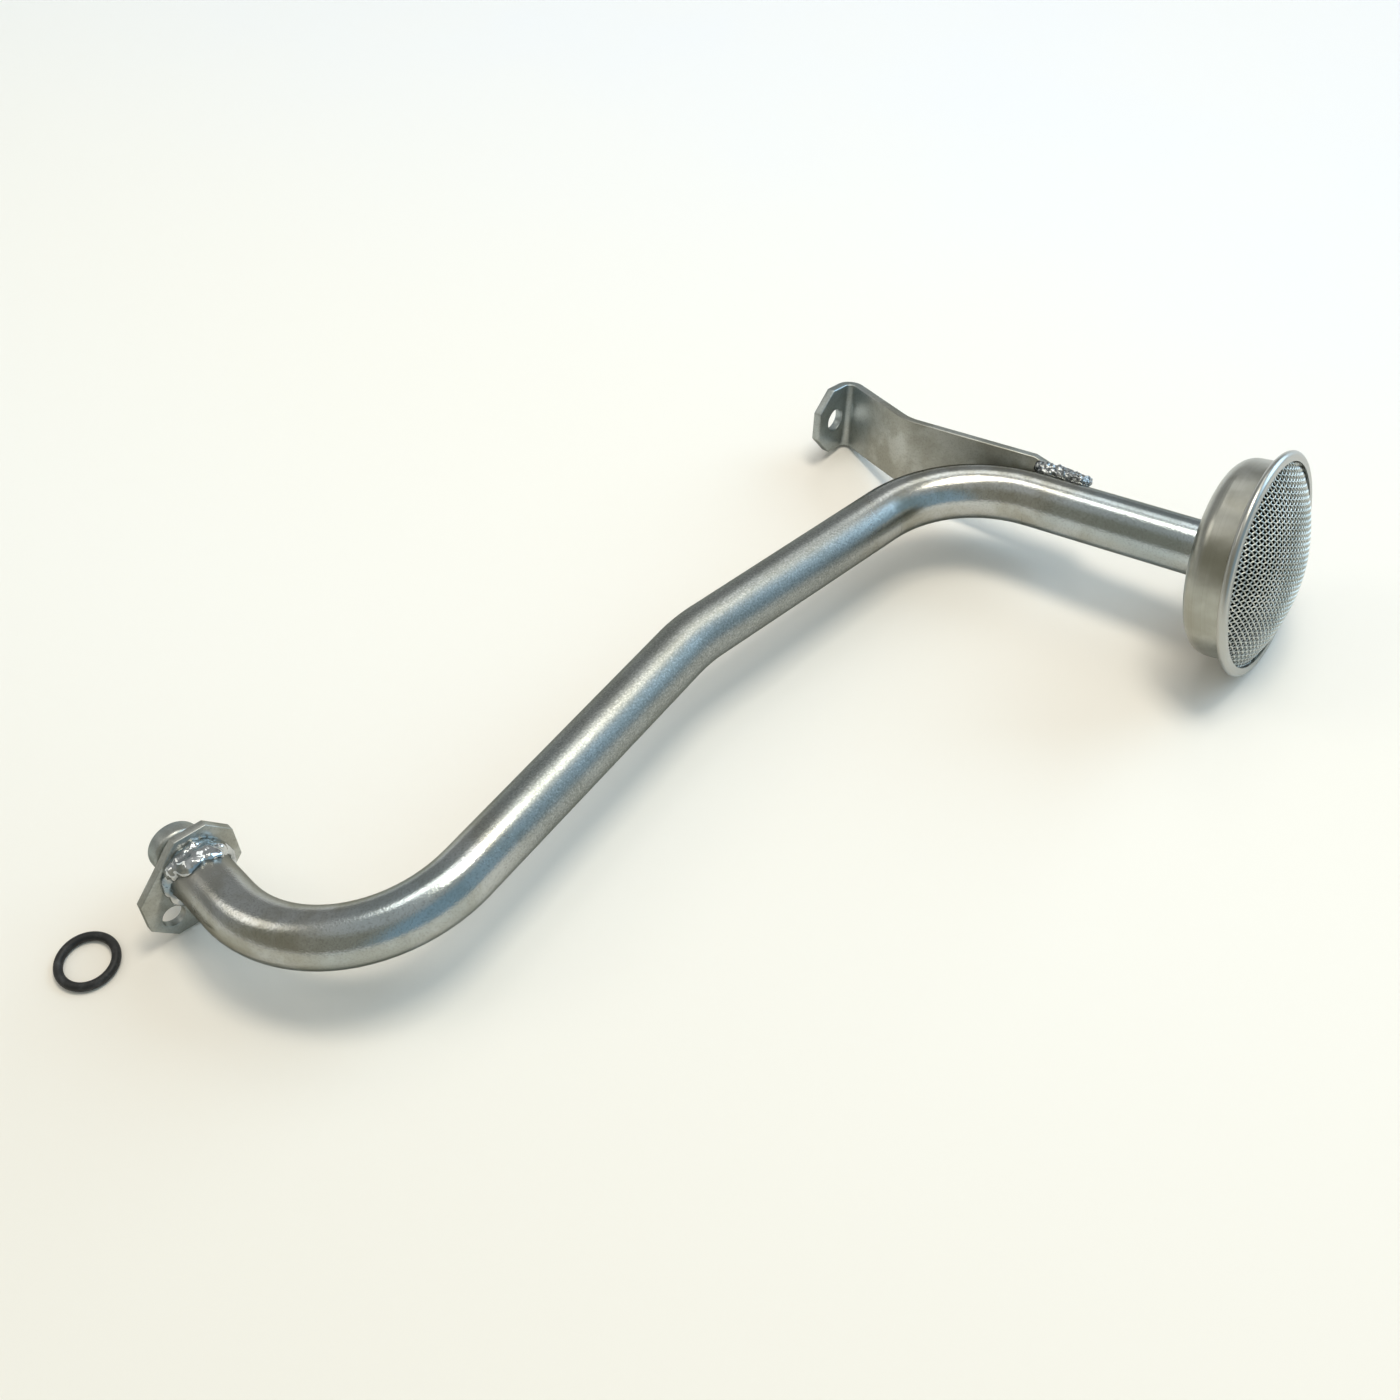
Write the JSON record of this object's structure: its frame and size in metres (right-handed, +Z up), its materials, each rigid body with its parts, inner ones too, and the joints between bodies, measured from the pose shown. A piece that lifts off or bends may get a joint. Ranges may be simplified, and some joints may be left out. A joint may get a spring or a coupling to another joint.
{
  "type": "oil pickup tube",
  "caption": "Bent steel oil pickup tube with a flanged spigot, a folded bracket and a round cup strainer with a domed wire screen, its O-ring taken off beside it.",
  "frame": {"origin": "centre of the bounding box on the floor, as the part lies", "axes": "+X along its greatest length, from the flange to the strainer; +Z up from the floor"},
  "size_m": [0.4138, 0.2423, 0.0738],
  "materials": {
    "plated_steel": "satin zinc plating",
    "weld": "bright plated weld bead",
    "cup_steel": "brushed plated sheet",
    "screen_wire": "woven wire",
    "black_rubber": "matte"
  },
  "bodies": {
    "root": {"pickup_tube": "plated_steel", "spigot": "plated_steel", "flange": "plated_steel", "flange_weld": "weld", "bracket": "plated_steel", "bracket_weld": "weld", "strainer_cup": "cup_steel", "cup_braze": "cup_steel", "strainer_screen": "screen_wire", "o_ring": "black_rubber"}
  },
  "joints": []
}
